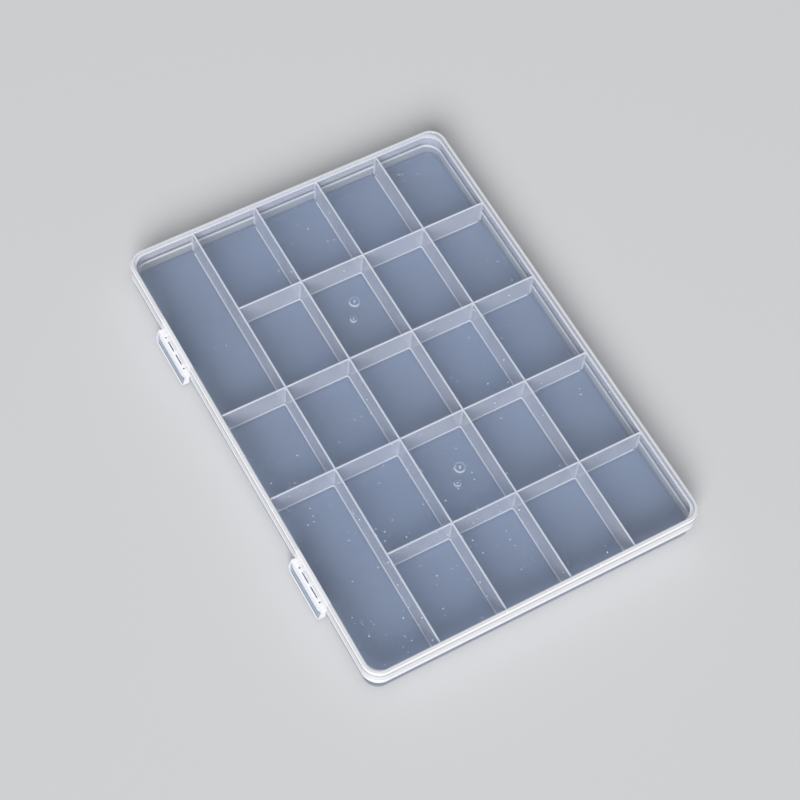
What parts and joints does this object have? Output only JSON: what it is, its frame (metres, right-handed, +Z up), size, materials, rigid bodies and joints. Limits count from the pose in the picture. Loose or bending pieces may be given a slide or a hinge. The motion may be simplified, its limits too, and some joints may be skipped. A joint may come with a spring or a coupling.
{
  "type": "compartment storage box",
  "caption": "Flat clear plastic storage box for craft parts, with a fixed grid of compartments, a lid on bending strips and snap flaps along the front.",
  "frame": {"origin": "middle of the flat underside of the tray", "axes": "+X along the box, +Y from the snap flaps to the hinge side, +Z up through the lid"},
  "size_m": [0.264, 0.1895, 0.0183],
  "materials": {
    "tray_plastic": "clear polypropylene, slightly milky, smooth",
    "rim_plastic": "clear polypropylene, whiter where it is thick",
    "divider_plastic": "clear polypropylene, slightly milky, smooth",
    "lid_plastic": "clear polypropylene, slightly milky, polished with fine scratches",
    "skirt_plastic": "clear polypropylene, slightly milky, smooth",
    "hinge_plastic": "polypropylene whitened by bending",
    "latch_plastic": "clear polypropylene, whiter where it is thick"
  },
  "bodies": {
    "base": {"base_floor": "tray_plastic", "base_wall": "tray_plastic", "base_flange": "rim_plastic", "long_divider_1": "divider_plastic", "long_divider_2": "divider_plastic", "long_divider_3": "divider_plastic", "long_divider_4": "divider_plastic", "cross_panel_a2": "divider_plastic", "cross_panel_a3": "divider_plastic", "cross_panel_a4": "divider_plastic", "cross_panel_a5": "divider_plastic", "cross_panel_b1": "divider_plastic", "cross_panel_b2": "divider_plastic", "cross_panel_b3": "divider_plastic", "cross_panel_b4": "divider_plastic", "cross_panel_b5": "divider_plastic", "cross_panel_c1": "divider_plastic", "cross_panel_c2": "divider_plastic", "cross_panel_c3": "divider_plastic", "cross_panel_c4": "divider_plastic", "cross_panel_c5": "divider_plastic", "cross_panel_d2": "divider_plastic", "cross_panel_d3": "divider_plastic", "cross_panel_d4": "divider_plastic", "cross_panel_d5": "divider_plastic", "hinge_strip_left": "hinge_plastic", "hinge_strip_middle": "hinge_plastic", "hinge_strip_right": "hinge_plastic"},
    "lid": {"lid_panel": "lid_plastic", "lid_skirt": "skirt_plastic", "latch_web_left": "hinge_plastic", "latch_web_right": "hinge_plastic"},
    "latch_left": {"latch_flap_left": "latch_plastic", "latch_hook_left": "latch_plastic", "latch_grip_left": "latch_plastic"},
    "latch_right": {"latch_flap_right": "latch_plastic", "latch_hook_right": "latch_plastic", "latch_grip_right": "latch_plastic"}
  },
  "joints": [
    {"name": "lid_hinge", "type": "hinge", "parent": "base", "child": "lid", "pos_m": [0, 0.0932, 0.01], "axis": [-1, 0, 0], "range_deg": [0, 180], "deforming": ["hinge_strip_left", "hinge_strip_middle", "hinge_strip_right"]},
    {"name": "latch_left_flap", "type": "hinge", "parent": "lid", "child": "latch_left", "pos_m": [-0.0726, -0.0927, 0.0104], "axis": [-1, 0, 0], "range_deg": [0, 90], "deforming": ["latch_web_left"]},
    {"name": "latch_right_flap", "type": "hinge", "parent": "lid", "child": "latch_right", "pos_m": [0.0726, -0.0927, 0.0104], "axis": [-1, 0, 0], "range_deg": [0, 90], "deforming": ["latch_web_right"]}
  ]
}
